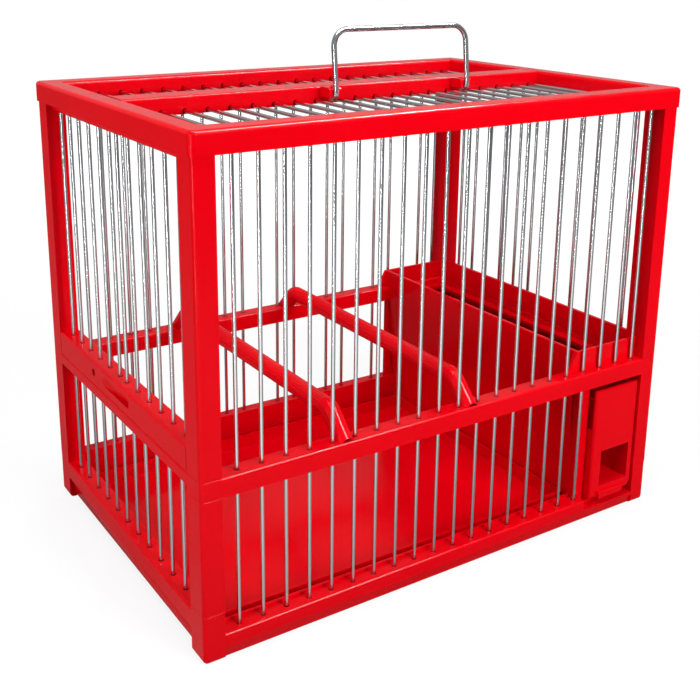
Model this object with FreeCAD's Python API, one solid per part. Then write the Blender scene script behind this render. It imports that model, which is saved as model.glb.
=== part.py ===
import FreeCAD, Part
import math
import os

# A table-top bird cage: red moulded frame, steel wires, side door, feeder drawer,
# droppings tray, two perches and a fold-down carry handle.
# Millimetres. The floor is z = 0, the front looks along -Y and the feeder is at +X.

# Whole cage
WIDTH = 300.0            # top rim, left to right
DEPTH = 203.0            # top rim, front to rear
HEIGHT = 253.0           # floor to the top of the rim

# Frame mouldings
RIM_TALL = 11.0          # height of the top rim
RIM_DEEP = 14.0          # front and rear rims seen from above
RIM_OVERHANG = 1.0       # how far the rim stands out past the posts
RIM_ROUND = 2.0          # rounding of the rim's top edges
RIM_CORNER_ROUND = 3.0   # rounding of the rim's upright corners
RAIL_WIDE = 11.0         # rail seen from above, and post seen from the front
RAIL_ROUND = 1.2         # rounding of the rails' top edges
POST_DEEP = 14.0         # post seen from the side
POST_ROUND = 2.0         # rounding of a post's outer edge
SEAM_ROUND = 0.25        # softened ends, where the corner mouldings meet
FOOT_TALL = 25.3
FOOT_ROUND = 2.4         # rounding of a foot's outer edges
MID_TOP = 94.0           # top of the ring half way up
MID_TALL = 9.6
MID_LEFT_TALL = 6.2      # the ring is slimmer under the door
BASE_TOP = 13.0          # front base rail
BASE_FACE_LOW = 6.5      # where the front and rear rails' faces turn inwards
BASE_LIFT = 0.6          # how far they stay off the floor
BASE_TAPER = 1.5         # how far their lower band leans in
BASE_LIP_WIDE = 1.8      # raised lip along their inner edges
BASE_LIP_TALL = 1.2
REAR_BASE_TOP = 25.0     # rear base rail
SIDE_BASE_TOP = 23.0     # left and right base rails
LEFT_BASE_TALL = 9.7     # the left one leaves room for the tray below it

# Steel wires
WIRE_RADIUS = 1.0
WIRE_INSET = 5.0         # wire line, in from the posts' outer faces
WIRE_SEAT = 4.0          # how deep a wire end sits in its rail
TOP_WIRE_SEAT = 3.0      # less for the roof wires, which pass the upright ones
TOP_WIRE_UP = 3.2        # roof wires above the rim's underside
FRONT_WIRE_COUNT = 21
LEFT_WIRE_COUNT = 11
SIDE_WIRE_COUNT = 12     # door, and right side above the ring
FRONT_PITCH_SHARE = 0.15  # spare pitches shared by the two ends of a row
LEFT_PITCH_SHARE = 0.7
SIDE_START_SHARE = 0.34  # half of the narrow gap at the middle of the door, in pitches
FRONT_SHIFT = 2.5        # front and rear rows stand a little towards the feeder
LEFT_SHIFT = 3.5         # the lower left row stands a little to the rear

# Roof bar and carry handle
ROOF_BAR_REAR = 9.5      # middle of the roof bar, behind the cage's middle
ROOF_BAR_WIDE = 17.0
ROOF_BAR_TALL = 9.5
HANDLE_WIRE_COUNTS = (9, 16)  # roof wires to the left of each lug
HANDLE_RADIUS = 1.5
HANDLE_RISE = 32.0       # handle's top above the rim
HANDLE_LEAN = 6.0        # degrees that the handle rests towards the rear
HANDLE_BEND = 9.0        # bend radius at the handle's corners
HOOK_TIP = 2.0           # straight tip of the hook behind the pin
PIN_RADIUS = 2.0
PIN_DROP = 2.3           # pin's middle below the rim's top
PIN_OUT = 6.6            # pin's middle in front of the roof bar
HOOK_CLEAR = 0.3         # between the pin and the hook round it
EAR_THICK = 2.0
EAR_CLEAR = 0.4          # between the hook's sides and the ears
EAR_LIP = 1.2            # ear material in front of the pin
EAR_BELOW = 3.2          # ear material below the pin's middle

# Side door
DOOR_TALL = 13.2         # moulded bar along the door's lower edge
DOOR_LIFT = 0.5          # gap below the bar
DOOR_SIDE_CLEAR = 0.5    # gap at each end of the bar
DOOR_AXIS_DROP = 3.0     # hinge rod's middle below the rim's underside
ROD_RADIUS = 1.5
ROD_SEAT = 4.5           # how far the rod goes into each post
ROD_CLEAR = 0.05         # running clearance round the rod
ROD_END_CLEAR = 0.5      # clearance at the rod's ends
GRIP_HOLE_RADIUS = 2.2   # round hole in the bar's outer face
GRIP_HOLE_Y = 32.0
GRIP_REAR = 27.0         # finger recess: shallow rear end
GRIP_FRONT = -18.0       # and deep front end
GRIP_DEEP = 4.0
GRIP_TALL = 5.0
GRIP_HOLE_DEEP = 5.0

# Feeder
FEEDER_WIDE = 48.0       # top of the sloping partition to the right posts
PLATE = 2.5              # thickness of the feeder's panels
COLLAR_TALL = 12.0       # collar and partition above the ring
COLLAR_THICK = 2.0
COLLAR_RIGHT_RISE = 2.0  # right collar is a little higher
COLLAR_SLOPE = 7.0       # slope of the collar's left corners
COLLAR_BACK = 0.5        # collar behind the wires
SILL_TOP = 7.5
FLOOR_THICK = 2.0
LEDGE_DROP = 4.0         # ledge below the ring's top
LEDGE_THICK = 2.0
LEDGE_WIDE = 6.0
SLOPE_IN = 8.0           # foot of the partition, right of its top
JAMB_LAP = 3.5           # upright beside the drawer, left of the partition's foot
JAMB_WIDE = 8.0
JAMB_BACK = 6.5          # and behind the rails' outer faces
DRAWER_CLEAR = 0.4
DRAWER_SET_BACK = 1.0    # front panel behind the rails' outer faces
DRAWER_TOP = 80.3        # top of the drawer's front
DRAWER_ROUND = 1.6       # rounding of the front's outer edges
DRAWER_CORNER = 5.0      # rounding of the front's lower right corner
DRAWER_BOX_TOP = 56.0
DRAWER_WALL = 2.0
DRAWER_REAR_GAP = 8.0    # behind the drawer
WINDOW_LEFT = 7.2        # finger recess: frame left at each side
WINDOW_RIGHT = 4.5
WINDOW_LOW = 19.0
WINDOW_TALL = 22.5
WINDOW_DEEP = 20.0
TOE_TALL = 3.8           # hollow below the front panel's lower edge
TOE_DEEP = 4.0
LIP_OUT = 1.8            # small grip lip at the front panel's foot
LIP_TALL = 3.8
LIP_IN = 6.0             # lip's left end, in from the drawer's left side
LIP_WIDE = 20.0

# Droppings tray
TRAY_CLEAR = 2.5         # between the tray and the feet
TRAY_TOP_CLEAR = 0.8     # below the left base rail
TRAY_END_CLEAR = 1.2     # at the foot of the feeder's partition
TRAY_WALL = 1.6
TRAY_LEAN = 5.0          # how far the end plate leans in
TRAY_SET_BACK = 1.5      # end plate behind the posts' outer face
RUNNER_WIDE = 10.0
RUNNER_TALL = 2.0
RUNNER_CLEAR = 0.3

# Perches
PERCH_WIRE_COUNTS = (5, 11)  # front wires to the left of each perch
PERCH_RADIUS = 4.8
PERCH_LEG_RADIUS = 4.0
PERCH_UP = 11.5          # perch's middle above the ring
PERCH_END = 17.5         # bend, in from the outer face of the ring
PERCH_FOOT = 6.0         # middle of a foot, in from the outer face of the ring
PERCH_TRIM = 1.0         # feet end this far behind the outer face
PERCH_REST = 0.1         # perch feet above the ring

OVERRUN = 1.0            # how far cutting shapes run past what they cut
SAME = 1e-6              # two coordinates this near are the same

# Places worked out from the sizes above
X_OUT = WIDTH / 2 - RIM_OVERHANG
Y_OUT = DEPTH / 2 - RIM_OVERHANG
X_IN = X_OUT - RAIL_WIDE
Y_POST = Y_OUT - POST_DEEP
Y_RAIL = Y_OUT - RAIL_WIDE
Y_RIM = DEPTH / 2 - RIM_DEEP
RIM_LOW = HEIGHT - RIM_TALL
MID_LOW = MID_TOP - MID_TALL
X_WIRE = X_OUT - WIRE_INSET
Y_WIRE = Y_OUT - WIRE_INSET
PITCH = 2 * X_IN / (FRONT_WIRE_COUNT + FRONT_PITCH_SHARE)
SIDE_PITCH = 2 * Y_POST / SIDE_WIRE_COUNT
LEFT_PITCH = 2 * Y_POST / (LEFT_WIRE_COUNT + LEFT_PITCH_SHARE)
TOP_WIRE_Z = RIM_LOW + TOP_WIRE_UP
LEFT_BASE_LOW = SIDE_BASE_TOP - LEFT_BASE_TALL
PARTITION_X = X_IN - FEEDER_WIDE
FOOT_X = PARTITION_X + SLOPE_IN
JAMB_X = FOOT_X - JAMB_LAP
DRAWER_Y = -Y_OUT + DRAWER_SET_BACK
FEEDER_TOP = MID_TOP + COLLAR_TALL
COLLAR_Y = Y_WIRE - WIRE_RADIUS - COLLAR_BACK - COLLAR_THICK
DOOR_LOW = MID_TOP + DOOR_LIFT
DOOR_AXIS_Z = RIM_LOW - DOOR_AXIS_DROP
ROOF_BAR_FRONT = ROOF_BAR_REAR - ROOF_BAR_WIDE / 2
PIN_Y = ROOF_BAR_FRONT - PIN_OUT
PIN_Z = HEIGHT - PIN_DROP
HOOK_RADIUS = PIN_RADIUS + HOOK_CLEAR + HANDLE_RADIUS

ORIGIN = FreeCAD.Vector(0, 0, 0)
AXIS_X = FreeCAD.Vector(1, 0, 0)
AXIS_Y = FreeCAD.Vector(0, 1, 0)
AXIS_Z = FreeCAD.Vector(0, 0, 1)
CORNERS = {"front_left": (-1, -1), "front_right": (1, -1), "rear_left": (-1, 1), "rear_right": (1, 1)}


def block(x, y, z):
    """Box between two places along each axis."""
    low = FreeCAD.Vector(x[0], y[0], z[0])
    return Part.makeBox(x[1] - x[0], y[1] - y[0], z[1] - z[0], low)


def prism(points, travel):
    """Straight extrusion of a flat outline."""
    outline = Part.makePolygon([FreeCAD.Vector(*point) for point in points + points[:1]])
    return Part.Face(outline).extrude(travel)


def rods(places, direction, length, radius=WIRE_RADIUS):
    """One round rod from each place."""
    bars = [Part.makeCylinder(radius, length, FreeCAD.Vector(*place), direction) for place in places]
    return Part.makeCompound(bars)


def lies_at(edge, **place):
    """True where all of an edge's ends have the given coordinates."""
    ends = [vertex.Point for vertex in edge.Vertexes]
    return all(abs(getattr(end, axis) - value) < SAME for end in ends for axis, value in place.items())


def runs_along(edge, axis):
    first, last = edge.Vertexes[0].Point, edge.Vertexes[-1].Point
    return (last - first).cross(axis).Length < SAME


def eased(rail, axis, radius):
    """Round the two long top edges of a rail."""
    top = rail.BoundBox.ZMax
    edges = [edge for edge in rail.Edges if lies_at(edge, z=top) and runs_along(edge, axis)]
    return rail.makeFillet(radius, edges)


def to_side(shape, x_side, y_side):
    """Mirror a shape made at the right rear to one of the four corners."""
    if x_side < 0:
        shape = shape.mirror(ORIGIN, AXIS_X)
    if y_side < 0:
        shape = shape.mirror(ORIGIN, AXIS_Y)
    return shape


def save(node, shape):
    shape.exportStep("parts/" + node + ".step")


def row(count, pitch):
    """Places of a row of wires about its middle."""
    return [(index - (count - 1) / 2) * pitch for index in range(count)]


ROOF_X = row(FRONT_WIRE_COUNT, PITCH)
FRONT_X = [x + FRONT_SHIFT for x in ROOF_X]
LONG_X = [x for x in FRONT_X if x + WIRE_RADIUS < FOOT_X]
SHORT_X = FRONT_X[len(LONG_X):]
LEFT_Y = [y + LEFT_SHIFT for y in row(LEFT_WIRE_COUNT, LEFT_PITCH)]
HALF_SIDE_Y = [(index + SIDE_START_SHARE) * SIDE_PITCH for index in range(SIDE_WIRE_COUNT // 2)]
SIDE_Y = [side * y for y in HALF_SIDE_Y for side in (-1, 1)]


def upright_wires(places, low, high):
    return rods([(x, y, low) for x, y in places], AXIS_Z, high - low)


WIRE_TOP = RIM_LOW + WIRE_SEAT
LONG_FOOT = BASE_TOP - WIRE_SEAT
SHORT_FOOT = MID_TOP - WIRE_SEAT
front_long = upright_wires([(x, -Y_WIRE) for x in LONG_X], LONG_FOOT, WIRE_TOP)
front_short = upright_wires([(x, -Y_WIRE) for x in SHORT_X], SHORT_FOOT, WIRE_TOP)
rear_long = upright_wires([(x, Y_WIRE) for x in LONG_X], REAR_BASE_TOP - WIRE_SEAT, WIRE_TOP)
rear_short = upright_wires([(x, Y_WIRE) for x in SHORT_X], SHORT_FOOT, WIRE_TOP)
LEFT_HEAD = MID_TOP - MID_LEFT_TALL + WIRE_SEAT
left_wires = upright_wires([(-X_WIRE, y) for y in LEFT_Y], SIDE_BASE_TOP - WIRE_SEAT, LEFT_HEAD)
right_wires = upright_wires([(X_WIRE, y) for y in SIDE_Y], SHORT_FOOT, WIRE_TOP)
ROOF_END = Y_RIM + TOP_WIRE_SEAT
roof_wires = rods([(x, -ROOF_END, TOP_WIRE_Z) for x in ROOF_X], AXIS_Y, 2 * ROOF_END)


def save_wires():
    save("front_wires", front_long)
    save("front_short_wires", front_short)
    save("rear_wires", Part.makeCompound(rear_long.Solids + rear_short.Solids))
    save("left_wires", left_wires)
    save("right_wires", right_wires)
    save("roof_wires", roof_wires)


def corner_block(low, high, grow=0, radius=POST_ROUND):
    """Upright moulding at the right rear corner, rounded on its outer edge."""
    x_face, y_face = X_OUT + grow, Y_OUT + grow
    solid = block((X_IN, x_face), (Y_POST, y_face), (low, high))
    edges = [edge for edge in solid.Edges if lies_at(edge, x=x_face, y=y_face)]
    return solid.makeFillet(radius, edges)


def rounded_end(solid, level, radius):
    """Round the outer edges of a corner moulding at one of its ends."""
    edges = [edge for edge in solid.Edges if lies_at(edge, z=level)]
    edges = [edge for edge in edges if not lies_at(edge, x=X_IN) and not lies_at(edge, y=Y_POST)]
    return solid.makeFillet(radius, edges)


def post(low, high):
    return rounded_end(rounded_end(corner_block(low, high), low, SEAM_ROUND), high, SEAM_ROUND)


def foot():
    """Corner foot, rounded along its outer and lower edges."""
    solid = block((X_IN, X_OUT), (Y_POST, Y_OUT), (0, FOOT_TALL))
    places = ({"x": X_OUT, "y": Y_OUT}, {"x": X_OUT, "z": 0}, {"y": Y_OUT, "z": 0})
    edges = [edge for edge in solid.Edges if any(lies_at(edge, **place) for place in places)]
    return rounded_end(solid.makeFillet(FOOT_ROUND, edges), FOOT_TALL, SEAM_ROUND)


def door_bore(y_side):
    """Blind bore in a left post for one end of the door's hinge rod."""
    mouth = FreeCAD.Vector(-X_WIRE, y_side * Y_POST, DOOR_AXIS_Z)
    return Part.makeCylinder(ROD_RADIUS + ROD_CLEAR, ROD_SEAT + ROD_END_CLEAR, mouth, AXIS_Y * y_side)


def top_corner():
    """Rim corner block, rounded on its outer corner and its top edges."""
    return rounded_end(corner_block(RIM_LOW, HEIGHT, RIM_OVERHANG, RIM_CORNER_ROUND), HEIGHT, RIM_ROUND)


def save_corners():
    for corner, (x_side, y_side) in CORNERS.items():
        save("foot_" + corner, to_side(foot(), x_side, y_side))
        save("lower_post_" + corner, to_side(post(FOOT_TALL, MID_LOW), x_side, y_side))
        save("mid_corner_" + corner, to_side(post(MID_LOW, MID_TOP), x_side, y_side))
        upper = to_side(post(MID_TOP, RIM_LOW), x_side, y_side)
        if x_side < 0:
            upper = upper.cut(door_bore(y_side))
        save("upper_post_" + corner, upper)
        save("top_corner_" + corner, to_side(top_corner(), x_side, y_side))


def base_profile(x, top):
    """Rear base rail outline at one end: upright face above, inward-leaning band below."""
    lower = [(x, Y_RAIL, BASE_LIFT), (x, Y_OUT - BASE_TAPER, BASE_LIFT), (x, Y_OUT, BASE_FACE_LOW)]
    return lower + [(x, Y_OUT, top), (x, Y_RAIL, top)]


def sill(left, right, top):
    return prism(base_profile(left, top), AXIS_X * (right - left))


def base_rail(left, right, top):
    """Sill with rounded top edges and a raised lip along its inner edge."""
    lip = block((left, right), (Y_RAIL, Y_RAIL + BASE_LIP_WIDE), (top - BASE_LIP_TALL, top + BASE_LIP_TALL))
    return eased(sill(left, right, top), AXIS_X, RAIL_ROUND).fuse(lip).removeSplitter()


def save_base_rails():
    front = base_rail(-X_IN, FOOT_X, BASE_TOP).mirror(ORIGIN, AXIS_Y)
    save("base_rail_front", front.cut(front_long))
    save("drawer_sill", sill(FOOT_X, X_IN, SILL_TOP).mirror(ORIGIN, AXIS_Y))
    save("base_rail_rear", base_rail(-X_IN, X_IN, REAR_BASE_TOP).cut(rear_long))
    left = block((-X_OUT, -X_IN), (-Y_POST, Y_POST), (LEFT_BASE_LOW, SIDE_BASE_TOP))
    save("base_rail_left", eased(left, AXIS_Y, RAIL_ROUND).cut(left_wires))
    right = block((X_IN, X_OUT), (-Y_POST, Y_POST), (BASE_LIFT, SIDE_BASE_TOP))
    save("base_rail_right", eased(right, AXIS_Y, RAIL_ROUND))


def save_tray_runners():
    runner = block((-X_IN, FOOT_X), (Y_RAIL - RUNNER_WIDE, Y_RAIL), (BASE_LIFT, BASE_LIFT + RUNNER_TALL))
    save("tray_runner_rear", runner)
    save("tray_runner_front", runner.mirror(ORIGIN, AXIS_Y))


def save_mid_rails():
    rear = eased(block((-X_IN, X_IN), (Y_RAIL, Y_OUT), (MID_LOW, MID_TOP)), AXIS_X, RAIL_ROUND)
    front = rear.mirror(ORIGIN, AXIS_Y)
    save("mid_rail_rear", rear.cut(rear_long).cut(rear_short))
    save("mid_rail_front", front.cut(front_long).cut(front_short))
    right = block((X_IN, X_OUT), (-Y_POST, Y_POST), (MID_LOW, MID_TOP))
    save("mid_rail_right", eased(right, AXIS_Y, RAIL_ROUND).cut(right_wires))
    left = block((-X_OUT, -X_IN), (-Y_POST, Y_POST), (MID_TOP - MID_LEFT_TALL, MID_TOP))
    save("mid_rail_left", eased(left, AXIS_Y, RAIL_ROUND).cut(left_wires))


def save_top_rails():
    y_rim, x_rim = Y_OUT + RIM_OVERHANG, X_OUT + RIM_OVERHANG
    rear = eased(block((-X_IN, X_IN), (Y_RIM, y_rim), (RIM_LOW, HEIGHT)), AXIS_X, RIM_ROUND)
    front = rear.mirror(ORIGIN, AXIS_Y)
    save("top_rail_rear", rear.cut(rear_long).cut(rear_short).cut(roof_wires))
    save("top_rail_front", front.cut(front_long).cut(front_short).cut(roof_wires))
    right = eased(block((X_IN, x_rim), (-Y_POST, Y_POST), (RIM_LOW, HEIGHT)), AXIS_Y, RIM_ROUND)
    save("top_rail_right", right.cut(right_wires))
    save("top_rail_left", right.mirror(ORIGIN, AXIS_X))


def save_roof_bar():
    y_span = (ROOF_BAR_FRONT, ROOF_BAR_FRONT + ROOF_BAR_WIDE)
    bar = block((-X_IN, X_IN), y_span, (HEIGHT - ROOF_BAR_TALL, HEIGHT))
    save("roof_bar", eased(bar, AXIS_X, RAIL_ROUND).cut(roof_wires))


def gap_x(places, count):
    """Middle of the gap to the right of the first few wires of a row."""
    return places[count - 1] + PITCH / 2


def handle_lug(x):
    """Two ears on the roof bar's front face and the pin between them."""
    inner = HANDLE_RADIUS + EAR_CLEAR
    outer = inner + EAR_THICK
    y_span = (PIN_Y - PIN_RADIUS - EAR_LIP, ROOF_BAR_FRONT)
    ears = block((x - outer, x + outer), y_span, (PIN_Z - EAR_BELOW, HEIGHT))
    ears = eased(ears, AXIS_X, RIM_ROUND)
    slot = block((x - inner, x + inner), (y_span[0] - OVERRUN, y_span[1]), (RIM_LOW, HEIGHT))
    pin = Part.makeCylinder(PIN_RADIUS, 2 * outer, FreeCAD.Vector(x - outer, PIN_Y, PIN_Z), AXIS_X)
    return ears.cut(slot).fuse(pin).removeSplitter()


def arc(start, middle, end):
    return Part.Arc(start, middle, end).toShape()


def hook(x):
    """Path of one hook, from its tip behind the pin to the foot of the upright in front."""
    rear, front = PIN_Y + HOOK_RADIUS, PIN_Y - HOOK_RADIUS
    tip = FreeCAD.Vector(x, rear, PIN_Z + HOOK_TIP)
    behind, before = FreeCAD.Vector(x, rear, PIN_Z), FreeCAD.Vector(x, front, PIN_Z)
    below = FreeCAD.Vector(x, PIN_Y, PIN_Z - HOOK_RADIUS)
    return [Part.makeLine(tip, behind), arc(behind, below, before)]


def handle_path():
    left, right = [gap_x(ROOF_X, count) for count in HANDLE_WIRE_COUNTS]
    y, top = PIN_Y - HOOK_RADIUS, HEIGHT + HANDLE_RISE - HANDLE_RADIUS
    shoulder, slack = top - HANDLE_BEND, HANDLE_BEND * (1 - math.sqrt(2) / 2)
    point = FreeCAD.Vector
    edges = hook(left)
    edges.append(Part.makeLine(point(left, y, PIN_Z), point(left, y, shoulder)))
    bend = point(left + slack, y, top - slack)
    edges.append(arc(point(left, y, shoulder), bend, point(left + HANDLE_BEND, y, top)))
    edges.append(Part.makeLine(point(left + HANDLE_BEND, y, top), point(right - HANDLE_BEND, y, top)))
    bend = point(right - slack, y, top - slack)
    edges.append(arc(point(right - HANDLE_BEND, y, top), bend, point(right, y, shoulder)))
    edges.append(Part.makeLine(point(right, y, shoulder), point(right, y, PIN_Z)))
    return Part.Wire(edges + hook(right)[::-1])


def carry_handle():
    """Bent wire with a hook round each pin, resting a little towards the rear."""
    tip = FreeCAD.Vector(gap_x(ROOF_X, HANDLE_WIRE_COUNTS[0]), PIN_Y + HOOK_RADIUS, PIN_Z + HOOK_TIP)
    section = Part.Wire(Part.Circle(tip, AXIS_Z, HANDLE_RADIUS).toShape())
    handle = Part.Solid(handle_path().makePipeShell([section], True, True))
    handle.rotate(FreeCAD.Vector(0, PIN_Y, PIN_Z), AXIS_X, -HANDLE_LEAN)
    return handle


def save_handle():
    for side, count in zip(("left", "right"), HANDLE_WIRE_COUNTS):
        save("handle_lug_" + side, handle_lug(gap_x(ROOF_X, count)))
    save("carry_handle", carry_handle())


def finger_recess():
    """Wedge that deepens towards the front, and the round hole behind it."""
    low = DOOR_LOW + (DOOR_TALL - GRIP_TALL) / 2
    past = -X_OUT - OVERRUN
    wedge = [(past, GRIP_REAR, low), (past, GRIP_FRONT, low), (-X_OUT + GRIP_DEEP, GRIP_FRONT, low)]
    hole_at = FreeCAD.Vector(past, GRIP_HOLE_Y, DOOR_LOW + DOOR_TALL / 2)
    hole = Part.makeCylinder(GRIP_HOLE_RADIUS, GRIP_HOLE_DEEP + OVERRUN, hole_at, AXIS_X)
    return prism(wedge, AXIS_Z * GRIP_TALL).fuse(hole)


def save_door():
    half = Y_POST + ROD_SEAT
    rod = Part.makeCylinder(ROD_RADIUS, 2 * half, FreeCAD.Vector(-X_WIRE, -half, DOOR_AXIS_Z), AXIS_Y)
    wire_foot = DOOR_LOW + DOOR_TALL - WIRE_SEAT
    wires = upright_wires([(-X_WIRE, y) for y in SIDE_Y], wire_foot, DOOR_AXIS_Z)
    y_end = Y_POST - DOOR_SIDE_CLEAR
    bar = block((-X_OUT, -X_IN), (-y_end, y_end), (DOOR_LOW, DOOR_LOW + DOOR_TALL))
    bar = eased(bar, AXIS_Y, RAIL_ROUND)
    save("door_rod", rod)
    save("door_wires", wires.cut(rod))
    save("door_bar", bar.cut(finger_recess()).cut(wires))


def collar_wall():
    """Rear collar wall on the ring, its left corner sloped."""
    outline = [(PARTITION_X - COLLAR_SLOPE, MID_TOP), (X_IN, MID_TOP)]
    outline += [(X_IN, FEEDER_TOP), (PARTITION_X, FEEDER_TOP)]
    wall = prism([(x, COLLAR_Y, z) for x, z in outline], AXIS_Y * COLLAR_THICK)
    return eased(wall, AXIS_X, COLLAR_THICK / 4)


def save_feeder_collar():
    rear = collar_wall()
    right = block((X_IN, X_IN + COLLAR_THICK), (-Y_POST, Y_POST), (MID_TOP, FEEDER_TOP + COLLAR_RIGHT_RISE))
    save("feeder_collar", Part.makeCompound([rear, rear.mirror(ORIGIN, AXIS_Y), right]))


def slope_x(z):
    """Left face of the sloping partition at a height."""
    return FOOT_X + (PARTITION_X - FOOT_X) * (z - SILL_TOP) / (FEEDER_TOP - SILL_TOP)


def partition_slice(low, high, half):
    """Level slice of the partition, reaching as far to the front as to the rear."""
    foot_x, head_x = slope_x(low), slope_x(high)
    outline = [(foot_x, low), (foot_x + PLATE, low), (head_x + PLATE, high), (head_x, high)]
    return prism([(x, -half, z) for x, z in outline], AXIS_Y * 2 * half)


def partition():
    """Sloping left wall of the feeder, wider above the ring to meet the collar."""
    lower = partition_slice(SILL_TOP, MID_TOP, Y_RAIL)
    upper = eased(partition_slice(MID_TOP, FEEDER_TOP, COLLAR_Y), AXIS_Y, PLATE / 4)
    return lower.fuse(upper).removeSplitter()


def feeder_ledge():
    """Shelf round the feeder's throat, fitted to the sloping partition."""
    top = MID_TOP - LEDGE_DROP
    face = slope_x(top) + PLATE
    z_span = (top - LEDGE_THICK, top)
    shelf = block((face, X_IN), (-Y_RAIL, Y_RAIL), z_span)
    hole_y = Y_RAIL - LEDGE_WIDE
    shelf = shelf.cut(block((face + LEDGE_WIDE, X_IN - LEDGE_WIDE), (-hole_y, hole_y), z_span))
    return shelf.cut(partition())


def save_feeder_panels():
    save("feeder_partition", partition())
    save("feeder_ledge", feeder_ledge())
    floor = block((FOOT_X, X_IN), (-Y_RAIL, Y_RAIL), (SILL_TOP - FLOOR_THICK, SILL_TOP))
    save("feeder_floor", floor)
    panel_y = Y_RAIL + BASE_LIP_WIDE
    rear = block((PARTITION_X, X_IN), (panel_y, panel_y + PLATE), (REAR_BASE_TOP, MID_TOP - MID_TALL))
    save("feeder_rear_panel", rear.cut(rear_long))
    x_mid = (X_IN + X_OUT) / 2
    side = block((x_mid, x_mid + PLATE), (-Y_POST, Y_POST), (SIDE_BASE_TOP, MID_LOW))
    save("feeder_side_panel", side)


def save_drawer_jamb():
    """Upright between the partition and the drawer, standing on the rail's end and the sill."""
    right, y_span = JAMB_X + JAMB_WIDE, (-Y_OUT + JAMB_BACK, -Y_RAIL)
    step = BASE_TOP + BASE_LIP_TALL
    strip = block((JAMB_X, right), y_span, (step, MID_LOW))
    save("drawer_jamb", strip.fuse(block((FOOT_X, right), y_span, (SILL_TOP, step))).removeSplitter())


def drawer_front(x, low):
    """Tall front panel with rounded edges and a larger rounding at its lower right."""
    panel = block(x, (DRAWER_Y, DRAWER_Y + DRAWER_WALL), (low, DRAWER_TOP))
    corner = [edge for edge in panel.Edges if lies_at(edge, x=x[1], z=low)]
    panel = panel.makeFillet(DRAWER_CORNER, corner)
    face = [edge for edge in panel.Edges if lies_at(edge, y=DRAWER_Y)]
    return panel.makeFillet(DRAWER_ROUND, face)


def seed_room(x, y_rear, low):
    """Hollow of the drawer, stepping back at its foot to clear the toe."""
    x_room = (x[0] + DRAWER_WALL, x[1] - DRAWER_WALL)
    y_end, top = y_rear - DRAWER_WALL, DRAWER_BOX_TOP + OVERRUN
    foot_y = DRAWER_Y + TOE_DEEP + DRAWER_WALL
    lower = block(x_room, (foot_y, y_end), (low + DRAWER_WALL, top))
    upper = block(x_room, (DRAWER_Y + DRAWER_WALL, y_end), (low + TOE_TALL + DRAWER_WALL, top))
    return lower.fuse(upper)


def drawer_shell(x, y_rear, low):
    """Seed box behind the front, hollowed below the front's lower edge."""
    box = block(x, (DRAWER_Y + DRAWER_ROUND, y_rear), (low, DRAWER_BOX_TOP))
    edges = [edge for edge in box.Edges if lies_at(edge, x=x[1], z=low)]
    toe = block(x, (DRAWER_Y, DRAWER_Y + TOE_DEEP), (low, low + TOE_TALL))
    return box.makeFillet(DRAWER_CORNER, edges).cut(toe).cut(seed_room(x, y_rear, low))


def finger_box(x):
    """Recess in the drawer's front that a finger hooks into, and the box round it."""
    z_window = (WINDOW_LOW, WINDOW_LOW + WINDOW_TALL)
    rear = DRAWER_Y + WINDOW_DEEP
    hollow = block((x[0] + WINDOW_LEFT, x[1] - WINDOW_RIGHT), (DRAWER_Y - OVERRUN, rear), z_window)
    z_box = (z_window[0] - DRAWER_WALL, z_window[1] + DRAWER_WALL)
    x_box = (x[0] + DRAWER_WALL / 2, x[1] - DRAWER_WALL / 2)
    box = block(x_box, (DRAWER_Y + DRAWER_WALL, rear + DRAWER_WALL), z_box)
    return box, hollow


def feeder_drawer():
    x = (JAMB_X + JAMB_WIDE + DRAWER_CLEAR, X_IN - DRAWER_CLEAR)
    low = SILL_TOP + DRAWER_CLEAR
    front_low = low + TOE_TALL
    box, hollow = finger_box(x)
    lip_x = (x[0] + LIP_IN, x[0] + LIP_IN + LIP_WIDE)
    lip_y = (DRAWER_Y - LIP_OUT, DRAWER_Y + DRAWER_WALL)
    lip = eased(block(lip_x, lip_y, (front_low, front_low + LIP_TALL)), AXIS_X, LIP_OUT / 3)
    shell = drawer_shell(x, Y_RAIL - DRAWER_REAR_GAP, low)
    return shell.fuse([drawer_front(x, front_low), box, lip]).cut(hollow).removeSplitter()


def droppings_tray():
    """Shallow tray with a leaning end plate under the left base rail."""
    low = BASE_LIFT + RUNNER_TALL + RUNNER_CLEAR
    top = LEFT_BASE_LOW - TRAY_TOP_CLEAR
    half = Y_POST - TRAY_CLEAR
    right = FOOT_X - TRAY_END_CLEAR
    face = -X_OUT + TRAY_SET_BACK
    inner_top, inner_low = face + TRAY_WALL, face + TRAY_WALL + TRAY_LEAN
    outline = [(face, -half, top), (face + TRAY_LEAN, -half, low), (right, -half, low), (right, -half, top)]
    body = prism(outline, AXIS_Y * 2 * half)
    room_half = half - TRAY_WALL
    room_right = right - TRAY_WALL
    room = [(inner_top, -room_half, top + OVERRUN), (inner_low, -room_half, low + TRAY_WALL),
            (room_right, -room_half, low + TRAY_WALL), (room_right, -room_half, top + OVERRUN)]
    return body.cut(prism(room, AXIS_Y * 2 * room_half))


def perch_end(x):
    """Rear end of a perch: a rounded bend and a leg sloping down to the ring."""
    bend = FreeCAD.Vector(x, Y_OUT - PERCH_END, MID_TOP + PERCH_UP)
    foot_at = FreeCAD.Vector(x, Y_OUT - PERCH_FOOT, MID_TOP + PERCH_REST)
    slope = foot_at - bend
    leg = Part.makeCylinder(PERCH_LEG_RADIUS, 2 * slope.Length, bend, slope)
    return leg.fuse(Part.makeSphere(PERCH_RADIUS, bend))


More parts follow.
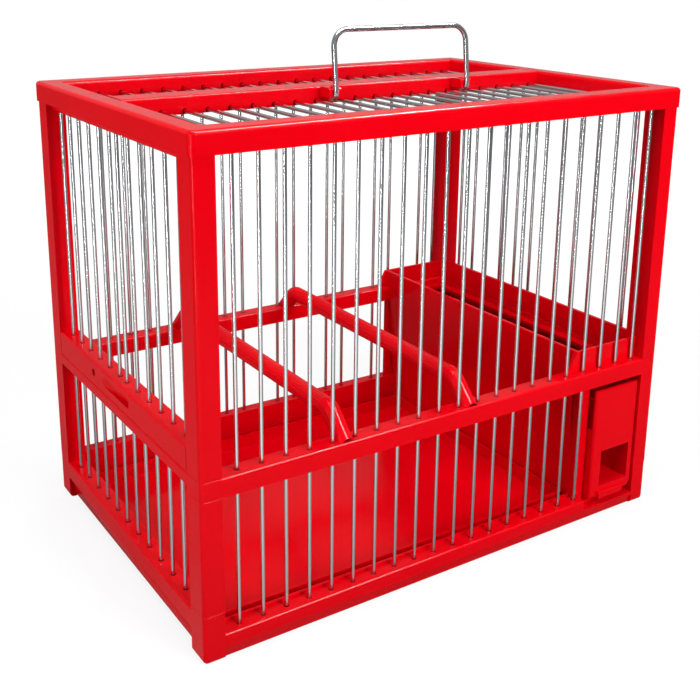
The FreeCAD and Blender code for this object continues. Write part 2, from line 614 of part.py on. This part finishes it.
def perch(x):
    half = Y_OUT - PERCH_END
    bar_at = FreeCAD.Vector(x, -half, MID_TOP + PERCH_UP)
    bar = Part.makeCylinder(PERCH_RADIUS, 2 * half, bar_at, AXIS_Y)
    rear = perch_end(x)
    solid = bar.fuse([rear, rear.mirror(ORIGIN, AXIS_Y)]).removeSplitter()
    room_y, room_z = Y_OUT - PERCH_TRIM, (MID_TOP + PERCH_REST, RIM_LOW)
    room = block((x - PITCH, x + PITCH), (-room_y, room_y), room_z)
    return solid.common(room)


def save_loose_parts():
    save("feeder_drawer", feeder_drawer())
    save("droppings_tray", droppings_tray())
    for side, count in zip(("left", "right"), PERCH_WIRE_COUNTS):
        save("perch_" + side, perch(gap_x(FRONT_X, count)))


os.makedirs("parts", exist_ok=True)
save_wires()
save_corners()
save_base_rails()
save_tray_runners()
save_mid_rails()
save_top_rails()
save_roof_bar()
save_handle()
save_door()
save_feeder_collar()
save_feeder_panels()
save_drawer_jamb()
save_loose_parts()
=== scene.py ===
# %% [markdown]
# # A red bird cage with steel wires
# This lesson dresses a finished construction model of a table-top bird cage. The model arrives as a fixed
# frame: every moulding, wire and moving piece is already in its place, in metres. Our work is the camera, the
# finishes, a few fine shapes that the construction leaves out, and the studio.

# %% Load the frame
import bmesh
import bpy
import math
from mathutils import Matrix, Vector


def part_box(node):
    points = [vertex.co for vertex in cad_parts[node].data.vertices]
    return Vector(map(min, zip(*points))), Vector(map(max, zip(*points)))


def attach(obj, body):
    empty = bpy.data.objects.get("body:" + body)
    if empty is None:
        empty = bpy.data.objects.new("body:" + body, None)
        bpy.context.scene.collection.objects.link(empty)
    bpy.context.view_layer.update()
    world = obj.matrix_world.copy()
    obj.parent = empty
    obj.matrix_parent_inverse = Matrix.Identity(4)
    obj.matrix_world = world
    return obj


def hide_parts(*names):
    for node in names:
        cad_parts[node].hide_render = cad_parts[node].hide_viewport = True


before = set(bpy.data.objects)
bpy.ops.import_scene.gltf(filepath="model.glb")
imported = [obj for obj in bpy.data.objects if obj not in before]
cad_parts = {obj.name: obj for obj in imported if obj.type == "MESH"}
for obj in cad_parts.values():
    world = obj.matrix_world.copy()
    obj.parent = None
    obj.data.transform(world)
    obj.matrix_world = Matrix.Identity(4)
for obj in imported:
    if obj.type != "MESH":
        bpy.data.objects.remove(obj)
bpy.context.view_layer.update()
scene = bpy.context.scene

# %% [markdown]
# ## Camera
# The cage was seen from a little above, from the front left, with a fairly near camera. Its place could be
# guessed by eye, but matching the rim's and feet's corners brings it closer. Part of the downward view comes
# from a lens shift, as with a view camera, which keeps the uprights nearly parallel. The photograph's own shift
# was larger, but that would push the cage out of the picture in the other views.

# %% Camera at the photograph's viewpoint
PICTURE = 700.0
FOCAL_PIXELS = 1039.8
CENTRE_PIXELS = (332.0, 234.9)
CAMERA_AT = Vector((-0.3265, -0.4827, 0.3214))
YAW, PITCH, ROLL = (math.radians(degrees) for degrees in (-32.794, 14.969, 0.452))

camera_data = bpy.data.cameras.new("camera")
camera_data.lens = camera_data.sensor_width * FOCAL_PIXELS / PICTURE
camera_data.shift_x = (PICTURE / 2 - CENTRE_PIXELS[0]) / PICTURE
camera_data.shift_y = (CENTRE_PIXELS[1] - PICTURE / 2) / PICTURE
camera_data.clip_start = 0.01
camera = bpy.data.objects.new("camera", camera_data)
tilt = Matrix.Rotation(math.pi / 2 - PITCH, 4, "X") @ Matrix.Rotation(ROLL, 4, "Z")
camera.matrix_world = Matrix.Translation(CAMERA_AT) @ Matrix.Rotation(YAW, 4, "Z") @ tilt
scene.collection.objects.link(camera)
scene.camera = camera
print("lens", round(camera_data.lens, 2), "shift", round(camera_data.shift_x, 3), round(camera_data.shift_y, 3))

# %% [markdown]
# ## Two small tools for finishes
# Colours are written as they are picked on a screen, in sRGB, and shaders want linear light. One function
# turns the first into the second. Another adds a shader node, sets its values and links its sockets, so that
# each finish below reads as a short list.

# %% Colour and node helpers
def linear(code):
    """Linear colour with full alpha from an sRGB hex code."""
    shares = [int(code[place:place + 2], 16) / 255 for place in (1, 3, 5)]
    return [s / 12.92 if s <= 0.04045 else ((s + 0.055) / 1.055) ** 2.4 for s in shares] + [1.0]


def add(tree, kind, inputs=None, **settings):
    """New node with settings; an input is a value or another node's output socket."""
    made = tree.nodes.new(kind)
    for name, value in settings.items():
        setattr(made, name, value)
    for socket, value in (inputs or {}).items():
        if isinstance(value, bpy.types.NodeSocket):
            tree.links.new(value, made.inputs[socket])
        else:
            made.inputs[socket].default_value = value
    return made


def new_material(name):
    """Empty node material with its principled shader and object coordinates."""
    material = bpy.data.materials.new(name)
    material.use_nodes = True
    tree = material.node_tree
    coordinates = add(tree, "ShaderNodeTexCoord").outputs["Object"]
    return material, tree, tree.nodes["Principled BSDF"], coordinates


MM = 0.001
print("mid grey as linear light:", [round(value, 3) for value in linear("#808080")])

# %% [markdown]
# ## Moulded polystyrene
# The frame is injection-moulded red polystyrene. It is glossy, but not a mirror: the melt leaves a faint
# waviness some centimetres long and a very fine orange peel, and handling dulls it in patches. Those three
# are noises of different sizes. The colour changes only by a shade, as pigment does along the flow.

# %% Red moulded plastic
FLOW_SIZE, PATCH_SIZE, PEEL_SIZE, SINK_SIZE = 45 * MM, 14 * MM, 1.4 * MM, 60 * MM
PEEL_DEEP, SINK_DEEP = 0.02 * MM, 0.4 * MM


def moulded_plastic(name, deep, bright, dull, glossy, shine):
    material, tree, shader, place = new_material(name)
    flow = add(tree, "ShaderNodeTexNoise", {"Vector": place, "Scale": 1 / FLOW_SIZE, "Detail": 3.0})
    tint = add(tree, "ShaderNodeMix", {"Factor": flow.outputs["Fac"], "A": linear(deep), "B": linear(bright)},
               data_type="RGBA")
    tree.links.new(tint.outputs["Result"], shader.inputs["Base Color"])
    patch = add(tree, "ShaderNodeTexNoise", {"Vector": place, "Scale": 1 / PATCH_SIZE, "Detail": 4.0})
    rough = add(tree, "ShaderNodeMapRange", {"Value": patch.outputs["Fac"], "From Min": 0.3, "From Max": 0.7,
                                             "To Min": glossy, "To Max": dull})
    tree.links.new(rough.outputs["Result"], shader.inputs["Roughness"])
    peel = add(tree, "ShaderNodeTexNoise", {"Vector": place, "Scale": 1 / PEEL_SIZE, "Detail": 2.0})
    fine = add(tree, "ShaderNodeBump", {"Height": peel.outputs["Fac"], "Strength": 0.05, "Distance": PEEL_DEEP})
    sink = add(tree, "ShaderNodeTexNoise", {"Vector": place, "Scale": 1 / SINK_SIZE, "Detail": 0.0})
    wave = add(tree, "ShaderNodeBump", {"Height": sink.outputs["Fac"], "Strength": 0.4, "Distance": SINK_DEEP,
                                        "Normal": fine.outputs["Normal"]})
    tree.links.new(wave.outputs["Normal"], shader.inputs["Normal"])
    shader.inputs["IOR"].default_value = 1.5
    shader.inputs["Specular IOR Level"].default_value = shine
    return material


red_plastic = moulded_plastic("moulded_polystyrene_red", "#BC000A", "#C8000E", 0.24, 0.12, 0.09)
print("made", red_plastic.name)

# %% [markdown]
# ## Drawn steel wire
# The wires are bright drawn steel. Drawing leaves fine streaks along the wire, so the noise is stretched along
# it. Wires run along different axes, so the stretch is a setting. The streaks are drawn a little coarser than
# real ones, which would be too fine to show.

# %% Bright steel
def drawn_steel(name, streak, pale, dark, smooth, rough):
    material, tree, shader, place = new_material(name)
    along = add(tree, "ShaderNodeMapping", {"Vector": place, "Scale": [1 / (size * MM) for size in streak]})
    lines = add(tree, "ShaderNodeTexNoise", {"Vector": along.outputs["Vector"], "Scale": 1.0, "Detail": 3.0})
    tint = add(tree, "ShaderNodeMix", {"Factor": lines.outputs["Fac"], "A": linear(dark), "B": linear(pale)},
               data_type="RGBA")
    tree.links.new(tint.outputs["Result"], shader.inputs["Base Color"])
    gloss = add(tree, "ShaderNodeMapRange", {"Value": lines.outputs["Fac"], "From Min": 0.3, "From Max": 0.7,
                                             "To Min": smooth, "To Max": rough})
    tree.links.new(gloss.outputs["Result"], shader.inputs["Roughness"])
    shader.inputs["Metallic"].default_value = 1.0
    return material


upright_steel = drawn_steel("drawn_steel_upright", (1.2, 1.2, 60), "#D6D8DA", "#C0C3C6", 0.16, 0.24)
level_steel = drawn_steel("drawn_steel_level", (1.2, 60, 1.2), "#D6D8DA", "#C0C3C6", 0.08, 0.14)
handle_steel = drawn_steel("bright_steel_handle", (2, 2, 2), "#BEC1C4", "#9A9EA2", 0.12, 0.2)
print("made", upright_steel.name, level_steel.name, handle_steel.name)

# %% [markdown]
# ## Dress the construction's own pieces
# Each node keeps its shape and takes one of the finishes. The wires' names tell which way they run. The door's
# hinge rod is steel too, but no bare rod shows under the rim, so it is coated red like the frame.

# %% Materials on the frame
LEVEL_WIRES = ("roof_wires",)
UPRIGHT_WIRES = ("front_wires", "front_short_wires", "rear_wires", "left_wires", "right_wires", "door_wires")


def finish_of(node):
    if node in LEVEL_WIRES:
        return level_steel
    if node in UPRIGHT_WIRES:
        return upright_steel
    return handle_steel if node == "carry_handle" else red_plastic


for name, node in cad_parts.items():
    node.data.materials.clear()
    node.data.materials.append(finish_of(name))
print("dressed", len(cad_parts), "nodes")

# %% [markdown]
# ## From a bmesh to a piece of the cage
# Every new piece ends the same way: its normals are made to point outwards, edges sharper than a limit stay
# crisp, and the object gets its finish and rides on the body that carries it.

# %% Piece helper
CRISP = math.radians(30)


def make_piece(name, bm, material, body):
    bmesh.ops.remove_doubles(bm, verts=bm.verts, dist=1e-6)
    bmesh.ops.recalc_face_normals(bm, faces=bm.faces)
    mesh = bpy.data.meshes.new(name)
    bm.to_mesh(mesh)
    bm.free()
    mesh.shade_smooth()
    mesh.set_sharp_from_angle(angle=CRISP)
    mesh.materials.append(material)
    piece = bpy.data.objects.new(name, mesh)
    scene.collection.objects.link(piece)
    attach(piece, body)
    return piece


print("piece helper ready")

# %% [markdown]
# ## Ribbed perches
# Each perch is one moulding: a bar with fine ribs along it, which a bird's feet can grip, and a smooth leg bent
# down at each end. It could be a curve with a bevel, but a curve can't change from smooth to ribbed. So a circle
# of vertices is pushed along the perch: extruded up a leg, spun round the bend, extruded along the bar with every
# second vertex pulled in, and spun down again.

# %% Perches
PERCH_RIBS = 20
PERCH_BEND = 8 * MM
PERCH_SLOPE = math.radians(45)
FOOT_REACH = 5 * MM
LEG_SPARE = 1.6
RIB_DEEP = 0.3 * MM
RIB_PAUSE, RIB_RISE = 1 * MM, 0.6 * MM


def ring_of(geometry):
    return [item for item in geometry if isinstance(item, bmesh.types.BMVert)]


def push(bm, ring, travel):
    """Extrude an open ring of vertices and move the new ring."""
    edges = [edge for edge in bm.edges if edge.verts[0] in ring and edge.verts[1] in ring]
    new = ring_of(bmesh.ops.extrude_edge_only(bm, edges=edges)["geom"])
    bmesh.ops.translate(bm, verts=new, vec=travel)
    return new


def bend(bm, ring, centre, angle):
    edges = [edge for edge in bm.edges if edge.verts[0] in ring and edge.verts[1] in ring]
    swept = bmesh.ops.spin(bm, geom=ring + edges, cent=centre, axis=(1, 0, 0), angle=angle, steps=6,
                           dvec=(0, 0, 0), use_duplicate=False)
    return ring_of(swept["geom_last"])


def ribbed(ring, middle, depth):
    """Pull every second vertex of a ring towards its middle."""
    step = math.pi / PERCH_RIBS
    for vertex in ring:
        arm = Vector((vertex.co.x - middle.x, 0, vertex.co.z - middle.z))
        if round(math.atan2(arm.z, arm.x) / step) % 2:
            vertex.co -= arm.normalized() * depth


def perch(node):
    low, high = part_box(node)
    radius = (high[0] - low[0]) / 2
    middle = Vector(((low[0] + high[0]) / 2, 0, high[2] - radius))
    half = (high[1] - low[1]) / 2
    foot_drop = middle.z - low[2]
    bend_y = half - FOOT_REACH - foot_drop / math.tan(PERCH_SLOPE)
    reach = PERCH_BEND * math.tan(PERCH_SLOPE / 2)
    leg = Vector((0, math.cos(PERCH_SLOPE), math.sin(PERCH_SLOPE)))
    bm = bmesh.new()
    start = bmesh.ops.create_circle(bm, segments=2 * PERCH_RIBS, radius=radius)["verts"]
    lean = Matrix.Rotation(-math.pi / 2 + PERCH_SLOPE, 3, "X")
    bmesh.ops.rotate(bm, verts=start, cent=(0, 0, 0), matrix=lean)
    corner = Vector((middle.x, -bend_y, middle.z))
    run = LEG_SPARE * foot_drop / math.sin(PERCH_SLOPE)
    bmesh.ops.translate(bm, verts=start, vec=corner - leg * run)
    ring = push(bm, start, leg * (run - reach))
    centre = Vector((middle.x, -bend_y + reach, middle.z - PERCH_BEND))
    ring = bend(bm, ring, centre, -PERCH_SLOPE)
    ring = push(bm, ring, (0, RIB_PAUSE, 0))
    ring = push(bm, ring, (0, RIB_RISE, 0))
    ribbed(ring, middle, RIB_DEEP)
    ring = push(bm, ring, (0, 2 * (bend_y - reach - RIB_PAUSE - RIB_RISE), 0))
    ring = push(bm, ring, (0, RIB_RISE, 0))
    ribbed(ring, middle, -RIB_DEEP)
    ring = push(bm, ring, (0, RIB_PAUSE, 0))
    ring = bend(bm, ring, centre * Vector((1, -1, 1)), -PERCH_SLOPE)
    push(bm, ring, Vector((0, leg.y, -leg.z)) * (run - reach))
    for place, normal in ((Vector(low), (0, 0, -1)), (Vector(low), (0, -1, 0)), (Vector(high), (0, 1, 0))):
        everything = bm.verts[:] + bm.edges[:] + bm.faces[:]
        bmesh.ops.bisect_plane(bm, geom=everything, plane_co=place, plane_no=normal, clear_outer=True)
    bmesh.ops.holes_fill(bm, edges=[edge for edge in bm.edges if edge.is_boundary], sides=0)
    piece = make_piece(node + "_ribbed", bm, red_plastic, node)
    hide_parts(node)
    return piece


for name in ("perch_left", "perch_right"):
    piece = perch(name)
    print(piece.name, "faces:", len(piece.data.polygons))

# %% [markdown]
# ## Facing of the tray's end
# From outside, the droppings tray shows as a darker band below the left rail. The tray's end wall leans in too far
# to be seen from above, so a facing sits in front of it. It starts as a cube, scaled to a plate, and its foot is
# moved in: the front less than the back, which follows the wall.

# %% Tray facing
FACING_THICK = 1 * MM
FACING_LEAN = 1.2 * MM
FACING_ROUND = 0.3 * MM
WALL_LEAN = 5 * MM


def tray_facing(node):
    low, high = (Vector(corner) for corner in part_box(node))
    size = Vector((FACING_THICK, high.y - low.y, high.z - low.z))
    bm = bmesh.new()
    corners = bmesh.ops.create_cube(bm, size=1.0)["verts"]
    bmesh.ops.scale(bm, verts=corners, vec=size)
    bmesh.ops.translate(bm, verts=corners, vec=low + size / 2)
    foot = [corner for corner in corners if corner.co.z < low.z + size.z / 2]
    front = [corner for corner in foot if corner.co.x < low.x + FACING_THICK / 2]
    back = [corner for corner in foot if corner not in front]
    bmesh.ops.translate(bm, verts=front, vec=(FACING_LEAN, 0, 0))
    bmesh.ops.translate(bm, verts=back, vec=(WALL_LEAN, 0, 0))
    bmesh.ops.bevel(bm, geom=bm.edges[:], offset=FACING_ROUND, offset_type="OFFSET", affect="EDGES", segments=2,
                    profile=0.5, material=-1)
    return make_piece("tray_end_facing", bm, red_plastic, node)


piece = tray_facing("droppings_tray")
print(piece.name, "faces:", len(piece.data.polygons))

# %% [markdown]
# ## Painted shade in the holes round the wires
# Every wire goes into a hole that is slightly wider than it, and the shaded gap shows as a thin dark ring at its
# foot.
# Cutting hundreds of holes would make the rails heavy, so each ring is a very low collar of painted shade, as dark
# as the shadowed gap, set into the rail's surface. The rows' places come from the boxes of the wire nodes.

# %% Rings of painted shade at the wires' ends
WIRE_RADIUS = 1.0 * MM
HOLE_RADIUS = 1.35 * MM
COLLAR_HALF = 0.05 * MM
COLLAR_INNER = 0.97 * WIRE_RADIUS
COLLAR_SIDES = 14
# Near-black red for the collars: painted shade standing in for the shadowed gaps round the wires.
gap_shade = moulded_plastic("painted_hole_gap_shade", "#1C0002", "#2A0003", 0.9, 0.7, 0.0)


def add_collar(bm, place, axis):
    """Low collar of painted shade round a wire where it goes into a moulding."""
    turn = Matrix.Rotation(math.pi / 2, 4, "X") if axis == "Y" else Matrix.Identity(4)
    set_down = Matrix.Translation(place) @ turn @ Matrix.Translation((0, 0, -COLLAR_HALF))
    edges = []
    for radius in (COLLAR_INNER, HOLE_RADIUS):
        circle = bmesh.ops.create_circle(bm, segments=COLLAR_SIDES, radius=radius, matrix=set_down)["verts"]
        edges += [edge for edge in bm.edges if edge.verts[0] in circle and edge.verts[1] in circle]
    faces = bmesh.ops.bridge_loops(bm, edges=edges)["faces"]
    raised = bmesh.ops.extrude_face_region(bm, geom=faces)["geom"]
    lift = set_down.to_3x3() @ Vector((0, 0, 2 * COLLAR_HALF))
    bmesh.ops.translate(bm, verts=ring_of(raised), vec=lift)


def spread(first, last, count):
    return [first + (last - first) * index / (count - 1) for index in range(count)]


def row_places(node, axis, count):
    """Even places of a row of wires, from the node's box."""
    low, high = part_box(node)
    return spread(low[axis] + WIRE_RADIUS, high[axis] - WIRE_RADIUS, count)


print("collar tool ready")

# %% [markdown]
# The rows differ in number and spacing. Front and rear rows stand at an even pitch, and the door and the right
# side have a narrow gap in the middle, so those rows are two mirrored halves.

# %% Rows of collars
LONG_COUNT, SHORT_COUNT, LEFT_COUNT, ROOF_COUNT = 18, 3, 11, 21
HALF_COUNT, HALF_START = 6, 0.34


def top_of(node):
    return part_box(node)[1][2]


def under(node):
    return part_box(node)[0][2]


def half_rows(node):
    """Places of a mirrored row with a narrow middle gap."""
    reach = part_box(node)[1][1] - WIRE_RADIUS
    pitch = reach / (HALF_COUNT - 1 + HALF_START)
    return [side * (index + HALF_START) * pitch for index in range(HALF_COUNT) for side in (-1, 1)]


def middle_of(node, axis):
    low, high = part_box(node)
    return (low[axis] + high[axis]) / 2


LIP = 1.2 * MM
long_x = row_places("front_wires", 0, LONG_COUNT)
short_x = row_places("front_short_wires", 0, SHORT_COUNT)
roof_x = row_places("roof_wires", 0, ROOF_COUNT)
front_y, rear_y = middle_of("front_wires", 1), middle_of("rear_wires", 1)
left_x, right_x = middle_of("left_wires", 0), middle_of("right_wires", 0)
places = []
for x in long_x:
    places += [(x, front_y, top_of("base_rail_front") - LIP), (x, rear_y, top_of("base_rail_rear") - LIP)]
    places += [(x, y, under(rail)) for y, rail in ((front_y, "mid_rail_front"), (rear_y, "mid_rail_rear"))]
for x in long_x + short_x:
    places += [(x, y, top_of(rail)) for y, rail in ((front_y, "mid_rail_front"), (rear_y, "mid_rail_rear"))]
    places += [(x, y, under(rail)) for y, rail in ((front_y, "top_rail_front"), (rear_y, "top_rail_rear"))]
for y in row_places("left_wires", 1, LEFT_COUNT):
    places += [(left_x, y, top_of("base_rail_left")), (left_x, y, under("mid_rail_left"))]
for y in half_rows("right_wires"):
    places += [(right_x, y, top_of("mid_rail_right")), (right_x, y, under("top_rail_right"))]
print("upright collars on the frame:", len(places))

# %% [markdown]
# All collars of the fixed frame become one piece, those of the roof wires included. The door's own collars are a
# second piece, because they swing with the door.

# %% Build the collars
bm = bmesh.new()
for place in places:
    add_collar(bm, Vector(place), "Z")
roof_z = middle_of("roof_wires", 2)
roof_faces = (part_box("top_rail_front")[1][1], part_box("roof_bar")[0][1],
              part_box("roof_bar")[1][1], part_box("top_rail_rear")[0][1])
for x in roof_x:
    for y in roof_faces:
        add_collar(bm, Vector((x, y, roof_z)), "Y")
# The collars are painted shade, not a moulded part of the cage.
collars = make_piece("wire_hole_shade_rings", bm, gap_shade, "frame")
bm = bmesh.new()
for y in half_rows("door_wires"):
    add_collar(bm, Vector((middle_of("door_wires", 0), y, top_of("door_bar"))), "Z")
door_collars = make_piece("door_hole_shade_rings", bm, gap_shade, "side_door")
print(collars.name, len(collars.data.polygons), door_collars.name, len(door_collars.data.polygons))

# %% [markdown]
# ## Studio
# A pale floor carries the soft shadow of the cage. Its whiteness, and the white behind the cage, are given to
# the rays that the camera sees, so that no more light falls on the cage for it. Reflections see a share of it.

# %% Who sees the backdrop
def sees_backdrop(tree, mirrored):
    """1 for the camera's rays, a share for reflections, 0 for light that falls on the cage."""
    path = add(tree, "ShaderNodeLightPath").outputs
    gloss = add(tree, "ShaderNodeMath", {0: path["Is Glossy Ray"], 1: mirrored}, operation="MULTIPLY")
    first = add(tree, "ShaderNodeMath", {0: path["Is Camera Ray"], 1: gloss.outputs[0]}, operation="MAXIMUM")
    both = add(tree, "ShaderNodeMath", {0: first.outputs[0], 1: path["Is Transmission Ray"]}, operation="MAXIMUM")
    return both.outputs[0]


print("backdrop tool ready")

# %% [markdown]
# The floor is a little darker near the cage, so that the shadow shows, and white farther out. For reflections alone
# it glows brighter in a patch in front of the cage, a painted reflection of a bright card, which lights up the
# lower wires.

# %% Floor
FLOOR_SIZE = 40.0
FLOOR_DROP = 0.1 * MM
NEAR, FAR = 0.35, 1.2
NEAR_GLOW, FAR_GLOW = 0.84, 1.0
# The card is a patch of glow that only reflections see: a painted reflection on the lower wires.
CARD_AT = (-0.34, -0.48, 0.0)
CARD_EDGE, CARD_END = 0.15, 0.5
CARD_BRIGHT, CARD_DIM = 1.5, 0.1
floor_material, tree, shader, place = new_material("studio_floor")
shader.inputs["Base Color"].default_value = linear("#606060")
shader.inputs["Roughness"].default_value = 0.9
shader.inputs["Specular IOR Level"].default_value = 0.0
shader.inputs["Emission Color"].default_value = linear("#FFFFFF")
away = add(tree, "ShaderNodeVectorMath", {0: place}, operation="LENGTH")
rise = add(tree, "ShaderNodeMapRange", {"Value": away.outputs["Value"], "From Min": NEAR, "From Max": FAR,
                                        "To Min": NEAR_GLOW, "To Max": FAR_GLOW})
from_card = add(tree, "ShaderNodeVectorMath", {0: place, 1: CARD_AT}, operation="DISTANCE")
painted_card_glow = add(tree, "ShaderNodeMapRange", {"Value": from_card.outputs["Value"], "From Min": CARD_EDGE,
                                        "From Max": CARD_END, "To Min": CARD_BRIGHT, "To Max": CARD_DIM})
seen = sees_backdrop(tree, painted_card_glow.outputs["Result"])
glow = add(tree, "ShaderNodeMath", {0: seen, 1: rise.outputs["Result"]}, operation="MULTIPLY")
tree.links.new(glow.outputs[0], shader.inputs["Emission Strength"])
bm = bmesh.new()
bmesh.ops.create_grid(bm, x_segments=1, y_segments=1, size=FLOOR_SIZE)
bmesh.ops.translate(bm, verts=bm.verts, vec=(0, 0, -FLOOR_DROP))
floor_mesh = bpy.data.meshes.new("floor")
bm.to_mesh(floor_mesh)
bm.free()
floor_mesh.materials.append(floor_material)
floor = bpy.data.objects.new("floor", floor_mesh)
scene.collection.objects.link(floor)
print("floor", FLOOR_SIZE * 2, "m across")

# %% [markdown]
# The world is white to the camera. To reflections it is a grey room, a little paler on the camera's side, which
# keeps the steel darker than the white behind it. What falls on the cage is only a faint ambient light.

# %% World
AMBIENT = 0.06
DARK_WALL, PALE_WALL = 0.38, 0.42
TOWARDS_CAMERA = (-0.5, -0.85, 0.0)
WALL_BLEND = 0.7
world = bpy.data.worlds.new("studio")
world.use_nodes = True
scene.world = world
tree = world.node_tree
direction = add(tree, "ShaderNodeTexCoord").outputs["Generated"]
facing = add(tree, "ShaderNodeVectorMath", {0: direction, 1: TOWARDS_CAMERA}, operation="DOT_PRODUCT")
walls = add(tree, "ShaderNodeMapRange", {"Value": facing.outputs["Value"], "From Min": -WALL_BLEND,
                                         "From Max": WALL_BLEND, "To Min": DARK_WALL, "To Max": PALE_WALL})
share = sees_backdrop(tree, walls.outputs["Result"])
level = add(tree, "ShaderNodeMapRange", {"Value": share, "To Min": AMBIENT, "To Max": 1.0})
tree.links.new(level.outputs["Result"], tree.nodes["Background"].inputs["Strength"])
tree.nodes["Background"].inputs["Color"].default_value = linear("#FFFFFF")
print("world", world.name, "ambient", AMBIENT)

# %% [markdown]
# ## Lamps
# Four softboxes light the cage: in front, overhead, at the left and behind. All but the one overhead are kept out
# of reflections, where they would lie as pale patches on the gloss. Two narrow strips do the opposite and show only
# in reflections: they draw the bright lines along the rim's front edge and down the near corner.

# %% Soft lamps
def softbox(name, place, target, size, power, diffuse=True, gloss=True):
    data = bpy.data.lights.new(name, "AREA")
    data.shape = "RECTANGLE"
    data.size, data.size_y = size
    data.energy = power
    lamp = bpy.data.objects.new(name, data)
    aim = (Vector(target) - Vector(place)).to_track_quat("-Z", "Y")
    lamp.matrix_world = Matrix.Translation(place) @ aim.to_matrix().to_4x4()
    lamp.visible_camera = False
    lamp.visible_diffuse = diffuse
    lamp.visible_glossy = gloss
    scene.collection.objects.link(lamp)


softbox("key_softbox", (0.15, -0.75, 0.4), (0, -0.05, 0.12), (0.36, 0.36), 8, gloss=False)
softbox("top_softbox", (-0.1, -0.1, 1.0), (0, 0, 0.2), (0.5, 0.5), 8.5)
softbox("left_softbox", (-0.75, -0.1, 0.32), (-0.1, 0, 0.13), (0.6, 0.4), 5.5, gloss=False)
softbox("rear_softbox", (0.85, 1.0, 0.5), (0, 0, 0.13), (0.8, 0.6), 12, gloss=False)
softbox("edge_strip", (0.6, -0.4, 1.3), (0.05, -0.1, 0.2), (1.2, 0.04), 75, diffuse=False)
softbox("corner_strip", (-0.55, -0.36, 0.2), (-0.15, -0.1, 0.16), (0.02, 0.4), 1.6, diffuse=False)
scene.view_settings.view_transform = "Standard"

# %% [markdown]
# ## End of the scene
# The dressed cage must stay inside the construction's box.

# %% End
print("scene script finished")
